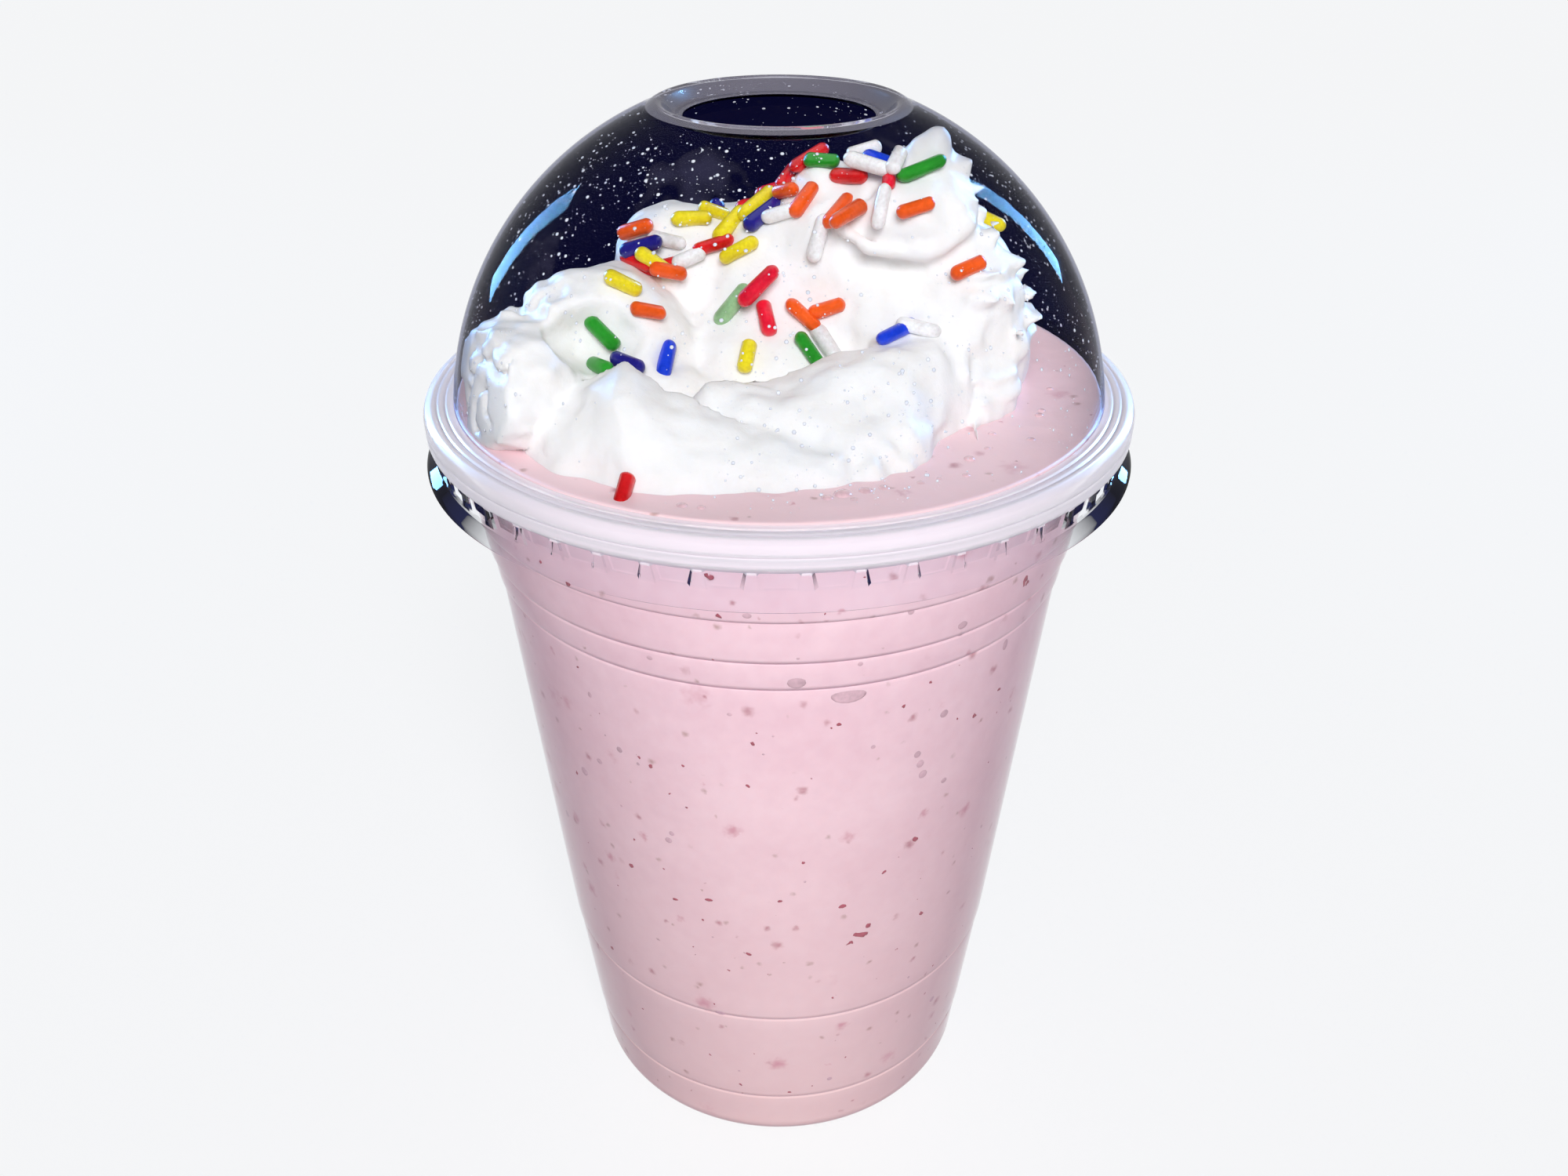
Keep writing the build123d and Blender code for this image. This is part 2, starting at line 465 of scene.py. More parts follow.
def makeCup():
    underRim = rimTop - cup["wall"]
    rimInside = wallRadius + cup["rimWidth"] - cup["wall"]
    rim = [
        (wallRadius, underRim),
        (rimInside - 0.4, underRim),
        (rimInside, underRim - 0.6),
        (rimInside, cup["wallTop"] + 0.5),
        (rimInside - 0.3, cup["wallTop"] + 0.1),
        (rimInside - cup["curl"], cup["wallTop"] + 0.3),
    ]
    floor = roundCorners(cupFloor(), 0.5, 3)
    side = roundCorners([*sidePoints, *rim], 0.45, 3)
    path = divide([*floor, *[np.array(point) for point in footArc()], *side], 2.5)
    piece = shell("cupShell", path, cup["wall"], cupAngles)
    piece.data.materials.append(
        clearPlastic("clearCupPlastic", (0.97, 0.98, 0.99), 1.2, cup["edge"])
    )
    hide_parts("cup")
    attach(piece, "root")
    print("cup made:", len(piece.data.polygons), "faces")


makeCup()

lid = dict(
    wall=0.45, rimGap=0.15, sink=5.2, collarRadius=18.0, collarWidth=2.6, collarRise=0.8,
    holeRadius=13.05, holeDrop=1.1, beadRound=1.2, beadBelow=0.35, neckInset=1.1, neckDrop=0.5,
    skirtHeight=2.9, skirtTaper=0.25, lipHeight=1.7, lipFlare=1.75, shelfRidge=0.22,
    lugCount=48, lugDepth=0.75, lugTopShare=0.36, lugLowShare=0.25,
    # painted darkness inside the clear dome, seen only through its far wall, standing in for a dark
    # background
    farWallShade=[(0.58, (0.00001, 0.00001, 0.0005)), (0.88, (0.0045, 0.004, 0.016))],
    # painted shade at a slant, darker towards the sides of the dome and flange and near-black at the ends
    # of the skirt and lip, and the slants where it starts and is full
    domeSlantShade=((0.05, 0.055, 0.14), 0.45, 0.9),
    skirtSlantShade=((0.0006, 0.0008, 0.009), 0.5, 0.62),
    lipSlantShade=((0.0006, 0.0008, 0.009), 0.3, 0.45),
    flangeSlantShade=((0.25, 0.25, 0.5), 0.45, 0.95),
    creaseAngle=38,
)
domeFoot = wallRadius - cup["wall"]
shelfTop = rimTop + lid["wall"]
domeMiddle = shelfTop - lid["sink"]
domeRadius = math.hypot(domeFoot, lid["sink"])
beadRadius = wallRadius + cup["rimWidth"] + lid["rimGap"] + lid["wall"]
beadBottom = cup["wallTop"] - lid["beadBelow"]
neckRadius = beadRadius - lid["neckInset"]
skirtTop = beadBottom - lid["neckDrop"]
skirtBottom = skirtTop - lid["skirtHeight"]
lugStops = np.array([-0.5, -0.38, -0.31, -0.15, 0.0, 0.15, 0.31, 0.38])
lugSpread = 0.31      # place of a lug's side among those stops


def domeHeight(radius):
    return domeMiddle + math.sqrt(domeRadius**2 - radius**2)


def lidPath():
    crease = domeHeight(lid["collarRadius"])
    inner = lid["collarRadius"] - lid["collarWidth"]
    plate = crease - lid["holeDrop"]
    collarMiddle = lid["collarRadius"] - lid["collarWidth"] / 2
    top = [
        (lid["holeRadius"], plate - 0.15),
        (lid["holeRadius"] + 0.35, plate + 0.05),
        (inner - lid["holeDrop"], plate),
        (inner, crease),
        (inner + 0.5, crease + 0.75 * lid["collarRise"]),
        (collarMiddle, crease + lid["collarRise"]),
        (lid["collarRadius"] - 0.5, crease + 0.55 * lid["collarRise"]),
    ]
    start = math.asin(lid["collarRadius"] / domeRadius)
    end = math.asin(domeFoot / domeRadius)
    dome = [
        (domeRadius * math.sin(turn), domeMiddle + domeRadius * math.cos(turn))
        for turn in np.linspace(start, end, 46)
    ]
    ridge = lid["shelfRidge"]
    shelf = [
        (domeFoot + 0.45, shelfTop - 0.05),
        (domeFoot + 0.9, shelfTop + 0.02),
        (domeFoot + 1.15, shelfTop - ridge),
        (domeFoot + 1.45, shelfTop),
        (domeFoot + 2.1, shelfTop),
        (domeFoot + 2.35, shelfTop - ridge),
        (domeFoot + 2.65, shelfTop),
        (beadRadius - lid["beadRound"], shelfTop),
        (beadRadius - 0.25, shelfTop - 0.55 * lid["beadRound"]),
        (beadRadius, shelfTop - 1.15 * lid["beadRound"]),
        (beadRadius - 0.02, shelfTop - 2.1),
        (beadRadius - 0.22, shelfTop - 2.3),
        (beadRadius - 0.05, shelfTop - 2.55),
        (beadRadius - 0.1, beadBottom + 0.3),
        (neckRadius + 0.1, skirtTop + 0.1),
    ]
    skirtRows = [
        (neckRadius - lid["skirtTaper"] * share, skirtTop - lid["skirtHeight"] * share)
        for share in (0.0, 0.12, 0.3, 0.7, 0.88, 1.0)
    ]
    lipStart = neckRadius - lid["skirtTaper"]
    lip = [
        (lipStart + 0.15 * lid["lipFlare"], skirtBottom - 0.35),
        (lipStart + 0.85 * lid["lipFlare"], skirtBottom - lid["lipHeight"] + 0.35),
        (lipStart + lid["lipFlare"], skirtBottom - lid["lipHeight"]),
    ]
    path = roundCorners(top, 0.35, 3) + [np.array(point) for point in dome]
    path += roundCorners([dome[-1], *shelf, skirtRows[0]], 0.25, 2)[1:-1]
    path += [np.array(point) for point in skirtRows]
    path += roundCorners([skirtRows[-1], *lip], 0.3, 2)[1:]
    return path


def lugAngles():
    pitch = wholeTurn / lid["lugCount"]
    return np.concatenate([(index + lugStops) * pitch for index in range(lid["lugCount"])])


def makeLid():
    path = np.array(lidPath())
    heights = np.concatenate([path[:, 1], path[::-1, 1]])
    radii = np.concatenate([path[:, 0], path[::-1, 0]])
    inSkirt = (heights < skirtTop + 0.01) & (heights > skirtBottom - 0.01) & (radii < beadRadius)
    share = (skirtTop - heights) / lid["skirtHeight"]
    stops = np.tile(lugStops, lid["lugCount"])
    pitch = wholeTurn / lid["lugCount"]

    def bend(index, ring):
        if not inSkirt[index]:
            return ring
        down = min(max(share[index], 0), 1)
        reach = lid["lugTopShare"] + (lid["lugLowShare"] - lid["lugTopShare"]) * down
        size = np.abs(stops)
        warped = np.where(
            size <= lugSpread,
            size * reach / lugSpread,
            reach + (size - lugSpread) * (0.5 - reach) / (0.5 - lugSpread),
        )
        ring[:, 0] += (np.sign(stops) * warped - stops) * pitch
        fade = min(1, down / 0.12, (1 - down) / 0.12)
        ring[:, 1] -= np.where(size <= lugSpread + 0.001, lid["lugDepth"] * fade, 0)
        return ring

    piece = shell("lidShell", path, -lid["wall"], lugAngles(), bend)
    clear = (0.96, 0.97, 0.99)
    dome, domeInside, skirt, flange, lip, collar = range(6)
    for finish in (
        clearPlastic("clearDomePlastic", clear, 1.035, lid["domeSlantShade"]),
        clearPlastic("clearDomeInside", clear, 1.035, beyond=lid["farWallShade"]),
        clearPlastic("clearSkirtPlastic", clear, 1.08, lid["skirtSlantShade"]),
        clearPlastic(
            "frostedFlangePlastic", (0.96, 0.95, 0.98), 1.3, lid["flangeSlantShade"],
            haze=0.42, hazeColour=(0.94, 0.91, 0.97),
        ),
        clearPlastic("clearLipPlastic", clear, 1.08, lid["lipSlantShade"]),
        clearPlastic(
            "clearCollarPlastic", clear, 1.05, lid["domeSlantShade"], haze=0.18, hazeColour=(0.8, 0.76, 0.92)
        ),
    ):
        piece.data.materials.append(finish)
    firstInside = (len(path) - 1) * len(lugStops) * lid["lugCount"]
    for face in piece.data.polygons:
        height, reach = face.center.z / mm, face.center.xy.length / mm
        if height < skirtBottom - 0.1:
            face.material_index = lip
        elif height < skirtTop - 0.2:
            face.material_index = skirt
        elif height < shelfTop + 0.3 and reach > domeFoot - 0.1:
            face.material_index = flange
        elif face.index >= firstInside:
            face.material_index = domeInside
        elif reach < lid["collarRadius"] + 0.2:
            face.material_index = collar
        else:
            face.material_index = dome
    piece.data.set_sharp_from_angle(angle=math.radians(lid["creaseAngle"]))
    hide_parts("lid")
    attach(piece, "root")
    print("lid made:", len(piece.data.polygons), "faces")


makeLid()

shake = dict(
    intoWall=0.14, meniscus=0.5, meniscusFall=14, shoulder=0.3, relief=0.35, reliefCell=9.0,
    # the last of these is painted shade: the darker, warmer drink low down, where the light falls off
    pale=(0.94, 0.665, 0.735), deep=(0.86, 0.57, 0.65), shadedBottom=(0.76, 0.55, 0.53),
    # paler at the top: partly the froth's own colour, partly painted light that makes the level top as
    # bright as the lit side
    froth=(0.98, 0.7, 0.72),
    # specks in it: scale, size, share, ragged, colour, strength
    specks=[
        (95.0, 0.30, 0.5, 0.0035, (0.66, 0.3, 0.37), 0.5),
        (260.0, 0.36, 0.35, 0.0012, (0.42, 0.11, 0.15), 0.7),
        (170.0, 0.38, 0.3, 0.002, (0.62, 0.24, 0.31), 0.75),
        (400.0, 0.36, 0.25, 0.001, (0.33, 0.16, 0.12), 0.6),
    ],
)


def shakeMaterial():
    material, tree, surface = newMaterial("strawberryShake", {
        "Roughness": 0.42, "Subsurface Weight": 0.15, "Subsurface Radius": (1.0, 0.5, 0.4),
        "Subsurface Scale": 0.0012,
    })
    cloud = useMottle(tree, 55.0, 420.0, 0.35)["Value"]
    tone = colourRamp(tree, cloud, [(0.34, shake["deep"]), (0.62, shake["pale"])])
    place = addNode(tree, "ShaderNodeTexCoord").outputs["Object"]
    height = addNode(tree, "ShaderNodeSeparateXYZ", {0: place}).outputs["Z"]
    # painted shade: darker and warmer towards the bottom of the drink
    bottomShade = mapRange(tree, height, 0.0, 0.1, 0.75, 0.0)
    # partly froth and partly painted light: the top of the drink made paler
    frothAndLitTop = mapRange(tree, height, (drinkTop - 1.6) * mm, (drinkTop - 0.8) * mm, 0, 0.75)
    last = mixColour(tree, frothAndLitTop, mixColour(tree, bottomShade, tone, shake["shadedBottom"]), shake["froth"])
    for scale, size, share, ragged, colour, strength in shake["specks"]:
        spots = useGroup(tree, specks, Scale=scale, Size=size, Share=share, Ragged=ragged)
        last = mixColour(tree, mathNode(tree, "MULTIPLY", spots["Mask"], strength), last, colour)
    setInputs(tree, surface, {"Base Color": last, "Normal": relief(tree, cloud, 0.25, 0.0006)})
    return material


def makeShake():
    inset = cup["wall"] - shake["intoWall"]
    floor = [(radius, height + inset) for radius, height in cupFloor()]
    foot = [(radius - inset, height + inset * 0.6) for radius, height in footArc(6)]
    side = [(radius - inset, height) for radius, height in sidePoints]
    shoulder = rimTop - shake["shoulder"]
    edge = domeFoot - lid["wall"] + shake["intoWall"]
    side[-1] = (wallRadius - inset, shoulder - 0.4)
    rise = [(edge, shoulder), (edge, drinkTop - 0.08)]
    path = roundCorners([*floor, *foot, *side], 0.35, 3)
    path = divide(path, 2.5) + divide([np.array(point) for point in rise], 0.4)
    surface = []
    for share in np.linspace(1, 0, 70)[1:]:
        sunk = shake["meniscus"] * (1 - math.exp(-(1 - share) * shake["meniscusFall"]))
        surface.append(np.array((edge * share, drinkTop - sunk)))
    loop = np.array([*path, *surface])
    firstOnTop = len(path)

    def bend(index, ring):
        if index < firstOnTop:
            return ring
        x, y = ring[:, 1] * np.cos(ring[:, 0]), ring[:, 1] * np.sin(ring[:, 0])
        flat = np.zeros_like(x)
        swell = latticeNoise(x, y, flat, shake["reliefCell"], 5)
        swell = swell + 0.4 * latticeNoise(x, y, flat, shake["reliefCell"] / 3, 6)
        calm = np.clip((edge - ring[:, 1]) / 4, 0, 1)
        ring[:, 2] += shake["relief"] * swell * calm * 0.5
        return ring

    piece = spin("shakeBody", loop, cupAngles, False, bend)
    piece.data.materials.append(shakeMaterial())
    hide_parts("milkshake")
    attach(piece, "root")
    print("milkshake made:", len(piece.data.polygons), "faces")


makeShake()

cream = dict(
    step=0.5, below=1.2, wallGap=0.35, blend=1.5,
    # scoops: middle, half sizes, turn about the upright axis in degrees
    scoops=dict(
        heart=((3, 9, 0), (33, 26.5, 15.5), 0),
        leftHump=((-25.5, -7, 4.5), (14, 12, 14.2), 10),
        bed=((-22, -15, 1.5), (13, 8, 6.8), 0),
        leftBack=((-14, 8, 11), (11, 11, 12.5), 0),
        saddle=((0, 6, 7), (14, 14, 16.5), 0),
        shoulder=((7.5, 3.5, 13), (10.5, 10, 17.2), 0),
        peak=((20.3, 1, 17), (7.2, 8, 16), 0),
        ridge=((13.5, 2, 14), (6.5, 7.5, 18), 0),
        rightBlob=((18.5, -1.5, 24), (9, 7.2, 6.5), 0),
        rightFace=((16, -1, 4.5), (15, 13, 14.5), 0),
        rightSide=((25, 1, 5), (11.5, 15, 17.5), 0),
        rightFoot=((24, -8, 0), (9, 9, 7.5), 20),
        back=((2, 25, 3), (27, 14, 16), 0),
        bottom=((-3, -17, 0), (21, 9, 5.2), 0),
        smear=((-36.5, -16, 6), (10, 13.5, 8.4), 0),
    ),
    # folds, from left to right: x, y of the crest, its height, y of the front edge
    folds=dict(
        apron=[
            (-39, -15, 2, -16), (-35, -17, 6, -25), (-28, -20, 7, -34), (-20, -24, 10.5, -38.5),
            (-13, -26.5, 7, -39.5), (-4, -29, 5, -39), (5, -31.5, 3.5, -37.5), (13, -32, 1, -33),
        ],
        tongue=[
            (-14, -22, 4, -25), (-9, -22, 7, -30), (0, -18.5, 8, -34), (9, -15.5, 9, -35.5),
            (16, -13, 10, -32), (22, -11.5, 11.5, -24), (26.5, -13, 8, -18), (28, -14, 0, -15),
        ],
    ),
    foldRound=2.3,        # how full the front of a fold is
    # lips: places along a raised edge, and its thickness
    lips=dict(
        tip=([(18, 1, 27), (20, 0.5, 32.6)], 3.0),
        tipEnd=([(19.6, 0.4, 31), (20.7, 0, 35)], 1.1),
        tongueCurl=([(14, -13.5, 10), (20, -11.8, 11), (24.5, -12.5, 10), (26, -16, 6.5)], 0.8),
        blobUnderside=([(8, -5.5, 24.5), (11.5, -8, 20.8), (19.5, -8.6, 20.3), (25.5, -6, 24)], 0.9),
    ),
    # creases: places along a cut, its half width
    creases=dict(
        underBlob=([(7, -5.5, 24), (11.4, -8.6, 18.6), (20, -9.2, 18.2), (27, -6, 22.5)], 0.9),
        byPeak=([(12, -4, 28), (14.5, -2, 32), (16, 1, 35)], 0.8),
    ),
    hollows=dict(pocket=((-25, -17.5, 13.5), (7.5, 5, 6)), ballPocket=((-17, -2.5, 20.5), (4, 4, 3))),
    # where the cream is pressed on the dome: x where it starts, pits in it
    pressed=dict(start=-26, pit=1.5, pitCell=2.8, froth=0.8, frothCell=2.1),
    leastFaces=40,        # loose crumbs with fewer faces are dropped
    tones=[(0.3, (0.92, 0.885, 0.85)), (0.6, (0.955, 0.945, 0.93))],
    warps=((1.3, 10), (0.55, 3.8)),       # slow and quick bends: size, cell
    lumps=(0.2, 1.7),                     # size, cell
    # torn, leafy edge down the right side: x where it starts, depth, height of a leaf
    torn=dict(start=23, depth=3.0, leaf=4.2, leafBend=1.6, cell=3.4),
    # ragged lower edge at the front right
    ragged=dict(start=4, top=5, front=-14, depth=1.5, cell=2.4),
)


def ellipsoid(x, y, z, middle, halves, degrees=0.0):
    turn = math.radians(degrees)
    dx, dy, dz = x - middle[0], y - middle[1], z - middle[2]
    along = dx * math.cos(turn) + dy * math.sin(turn)
    across = -dx * math.sin(turn) + dy * math.cos(turn)
    near = np.sqrt((along / halves[0]) ** 2 + (across / halves[1]) ** 2 + (dz / halves[2]) ** 2)
    slope = np.sqrt(
        (along / halves[0] ** 2) ** 2 + (across / halves[1] ** 2) ** 2 + (dz / halves[2] ** 2) ** 2
    )
    return near * (near - 1) / np.maximum(slope, 1e-6)


def toLine(x, y, z, places):
    # distance to a line through the places
    nearest = np.full_like(x, 1e3)
    for a, b in zip(places, places[1:]):
        a, b = np.array(a, float), np.array(b, float)
        run = b - a
        dx, dy, dz = x - a[0], y - a[1], z - a[2]
        t = np.clip((dx * run[0] + dy * run[1] + dz * run[2]) / (run @ run), 0, 1)
        away = (dx - t * run[0]) ** 2 + (dy - t * run[1]) ** 2 + (dz - t * run[2]) ** 2
        nearest = np.minimum(nearest, away)
    return np.sqrt(nearest)


def eased(x, places, column):
    # one column of the places along x, level at each place, so that the fold waves
    places = np.array(places, float)
    index = np.clip(np.searchsorted(places[:, 0], x) - 1, 0, len(places) - 2)
    low, high = places[index], places[index + 1]
    t = np.clip((x - low[..., 0]) / (high[..., 0] - low[..., 0]), 0, 1)
    t = 0.5 * t + 0.5 * t * t * (3 - 2 * t)
    return low[..., column] + (high[..., column] - low[..., column]) * t


def foldShape(x, y, z, places):
    # a sheet of cream that rises from its front edge to a sharp crest and drops behind it
    crestY, crestZ, frontY = (eased(x, places, column) for column in (1, 2, 3))
    t = np.clip((crestY - y) / (crestY - frontY), 0, 1.5)
    top = crestZ * (1 - t ** cream["foldRound"])
    ends = np.maximum(places[0][0] - x, x - places[-1][0])
    return np.maximum(np.maximum((z - top) * 0.75, (y - crestY - 0.12 * z) * 0.95), ends)


def blendUnion(a, b, width):
    share = np.clip(0.5 + 0.5 * (b - a) / width, 0, 1)
    return b + (a - b) * share - width * share * (1 - share)


def blendCut(a, b, width):
    return -blendUnion(-a, b, width)


def roughShape(x, y, z):
    field = None
    for middle, halves, degrees in cream["scoops"].values():
        lump = ellipsoid(x, y, z, middle, halves, degrees)
        field = lump if field is None else blendUnion(field, lump, cream["blend"])
    return field


def fineShape(x, y, z):
    warped = []
    for axis, seeds in zip((x, y, z), ((21, 22), (23, 24), (25, 26))):
        slow, quick = [
            size * latticeNoise(x, y, z, cell, seed) for (size, cell), seed in zip(cream["warps"], seeds)
        ]
        warped.append(axis + (slow + quick))
    field = roughShape(*warped)
    for middle, halves in cream["hollows"].values():
        field = blendCut(field, ellipsoid(*warped, middle, halves), 1.0)
    for places in cream["folds"].values():
        field = blendUnion(field, foldShape(*warped, places), 0.35)
    for places, thickness in cream["lips"].values():
        field = blendUnion(field, toLine(*warped, places) - thickness, 1.8)
    for places, width in cream["creases"].values():
        field = blendCut(field, toLine(*warped, places) - width, 0.7)
    torn = cream["torn"]
    right = np.clip((x - torn["start"]) / 6, 0, 1) * np.clip((z - 1) / 4, 0, 1)
    layer = (z + torn["leafBend"] * latticeNoise(x, y, z, 7, 41)) / torn["leaf"]
    leaf = 1 - np.abs(2 * (layer - np.floor(layer)) - 1)
    rips = np.clip(1.3 * latticeNoise(x, y, z, torn["cell"], 42) + 0.35, 0, 1)
    field = field - right * torn["depth"] * leaf**1.5 * rips
    size, cell = cream["lumps"]
    field = field + size * latticeNoise(x, y, z, cell, 31)
    pressed = cream["pressed"]
    left = np.clip((pressed["start"] - x) / 5, 0, 1)
    field = field + left * pressed["froth"] * latticeNoise(x, y, z, pressed["frothCell"], 53)
    ragged = cream["ragged"]
    share = np.clip((x - ragged["start"]) / 8, 0, 1) * np.clip((ragged["top"] - z) / 3, 0, 1)
    share = share * np.clip((ragged["front"] - y) / 5, 0, 1)
    return field + share * ragged["depth"] * latticeNoise(x, y, z, ragged["cell"], 32)


def creamField(x, y, z):
    pressed = cream["pressed"]
    # the slow outline everywhere, and the folds only near the surface
    field = roughShape(x, y, z)
    for places in cream["folds"].values():
        field = np.minimum(field, foldShape(x, y, z, places))
    near = np.abs(field) < 6
    field[near] = fineShape(x[near], y[near], z[near])
    room = np.sqrt(x**2 + y**2 + (z + drinkTop - domeMiddle) ** 2)
    beyond = room - (domeRadius - lid["wall"] - cream["wallGap"])
    near = (np.abs(beyond) < 4) & (x < pressed["start"])
    pits = latticeNoise(x[near], y[near], z[near], pressed["pitCell"], 51)
    swirls = latticeNoise(x[near], y[near], z[near] * 0.6, pressed["pitCell"] * 2.2, 52)
    beyond[near] += pressed["pit"] * np.clip(0.5 - 2.2 * np.abs(pits) + 0.8 * swirls, 0, 1)
    field = np.maximum(field, beyond)
    return np.maximum(field, -z - cream["below"])


def dropCrumbs(verts, faces, least):
    # keeps only the joined patches of at least so many faces
    label = np.arange(len(verts))
    while True:
        before = label.copy()
        np.minimum.at(label, faces, label[faces].min(axis=1)[:, None])
        label = label[label]
        if (label == before).all():
            break
    size = np.bincount(label[faces[:, 0]], minlength=len(verts))
    faces = faces[size[label[faces[:, 0]]] >= least]
    used, renumbered = np.unique(faces, return_inverse=True)
    return verts[used], renumbered.reshape(faces.shape)


def makeCream():
    step = cream["step"]
    reach = domeRadius - lid["wall"]
    xs = np.arange(-reach - 2, reach + 2, step, dtype=np.float32)
    zs = np.arange(-cream["below"] - 1.5, 40, step, dtype=np.float32)
    x, y, z = np.meshgrid(xs, xs, zs, indexing="ij")
    field = creamField(x, y, z)
    verts, faces = surfaceNet(field, (xs[0], xs[0], zs[0]), step)
    verts, faces = dropCrumbs(verts, faces, cream["leastFaces"])
    verts[:, 2] += drinkTop
    piece = plainMesh("creamHeap", verts, faces.tolist())
    faceOutward(piece)
    piece.data.materials.append(mottledMaterial(
        "whippedCream", (110.0, 1300.0, 0.35), cream["tones"],
        {
            "Roughness": 0.5, "Subsurface Weight": 0.25, "Subsurface Radius": (1.0, 0.85, 0.7),
            "Subsurface Scale": 0.0015,
        },
        ("Value", 0.35, 0.0004),
    ))
    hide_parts("whipped_cream")
    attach(piece, "root")
    print("cream made:", len(piece.data.polygons), "faces")
    return piece


creamHeap = makeCream()


def buildScatterTree():
    # sets a rounded rod or bead on every point, turned and sized by the points' attributes
    tree = bpy.data.node_groups.new("scatterRods", "GeometryNodeTree")
    face = tree.interface
    face.new_socket("Points", in_out="INPUT", socket_type="NodeSocketGeometry")
    for title, kind, value in (
        ("Segments", "Int", 10), ("Rings", "Int", 8), ("Straight Part", "Float", 0.6),
        ("Lump Size", "Float", 0.003), ("Lump Height", "Float", 0.0002),
    ):
        face.new_socket(title, in_out="INPUT", socket_type="NodeSocket" + kind).default_value = value
    face.new_socket("Finish", in_out="INPUT", socket_type="NodeSocketMaterial")
    face.new_socket("Pieces", in_out="OUTPUT", socket_type="NodeSocketGeometry")
    start = addNode(tree, "NodeGroupInput").outputs
    ball = addNode(tree, "GeometryNodeMeshUVSphere", {
        "Segments": start["Segments"], "Rings": start["Rings"], "Radius": 1,
    })
    # the two halves of the ball are pulled apart, which leaves a straight part between them
    where = addNode(tree, "GeometryNodeInputPosition").outputs[0]
    height = addNode(tree, "ShaderNodeSeparateXYZ", {0: where}).outputs["Z"]
    sign = addNode(tree, "ShaderNodeMath", {0: height}, operation="SIGN").outputs[0]
    pull = mathNode(tree, "MULTIPLY", sign, start["Straight Part"])
    upward = addNode(tree, "ShaderNodeCombineXYZ", {"Z": pull}).outputs[0]
    rod = addNode(tree, "GeometryNodeSetPosition", {"Geometry": ball.outputs["Mesh"], "Offset": upward})
    turn, size = [
        addNode(
            tree, "GeometryNodeInputNamedAttribute", {"Name": title}, data_type="FLOAT_VECTOR"
        ).outputs["Attribute"]
        for title in ("turn", "size")
    ]
    setOut = addNode(tree, "GeometryNodeInstanceOnPoints", {
        "Points": start["Points"], "Instance": rod.outputs[0], "Rotation": turn, "Scale": size,
    })
    real = addNode(tree, "GeometryNodeRealizeInstances", {0: setOut.outputs[0]})
    perCell = mathNode(tree, "DIVIDE", 1, start["Lump Size"])
    lumps = addNode(tree, "ShaderNodeTexNoise", {"Scale": perCell, "Detail": 1})
    shift = centreAndScale(tree, lumps.outputs["Color"], start["Lump Height"])
    uneven = addNode(tree, "GeometryNodeSetPosition", {"Geometry": real.outputs[0], "Offset": shift})
    smooth = addNode(tree, "GeometryNodeSetShadeSmooth", {"Geometry": uneven.outputs[0]})
    finish = addNode(tree, "GeometryNodeSetMaterial", {
        "Geometry": smooth.outputs[0], "Material": start["Finish"],
    })
    addNode(tree, "NodeGroupOutput", {"Pieces": finish.outputs[0]})
    return tree


scatterTree = buildScatterTree()


def scatter(name, places, turns, sizes, finish, slot, **values):
    # places and sizes in millimetres; a size is across, across and half the length
    mesh = bpy.data.meshes.new(name + "Points")
    mesh.from_pydata((np.asarray(places) * mm).tolist(), [], [])
    for title, rows, scale in (("turn", turns, 1), ("size", sizes, mm)):
        column = mesh.attributes.new(title, "FLOAT_VECTOR", "POINT")
        column.data.foreach_set("vector", (np.asarray(rows, float) * scale).ravel())
    piece = bpy.data.objects.new(name, mesh)
    bpy.context.scene.collection.objects.link(piece)
    modifier = piece.modifiers.new("scatter", "NODES")
    modifier.node_group = scatterTree
    inputs = {
        item.name: item.identifier
        for item in scatterTree.interface.items_tree
        if item.item_type == "SOCKET" and item.in_out == "INPUT"
    }
    modifier[inputs["Finish"]] = finish
    for title, value in values.items():
        modifier[inputs[title.replace("_", " ")]] = value
    ready = piece.evaluated_get(bpy.context.evaluated_depsgraph_get())
    made = bpy.data.meshes.new_from_object(ready)
    piece.modifiers.remove(modifier)
    piece.data = made
    made.name = name
    bpy.data.meshes.remove(mesh)
    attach(piece, "root")
    print(name, "made:", len(places))
    return piece


def turnTo(direction, roll=0.0):
    # the turn that lays a rod along a direction
    return (Vector(direction).to_track_quat("Z", "Y") @ Quaternion((0, 0, 1), roll)).to_euler()


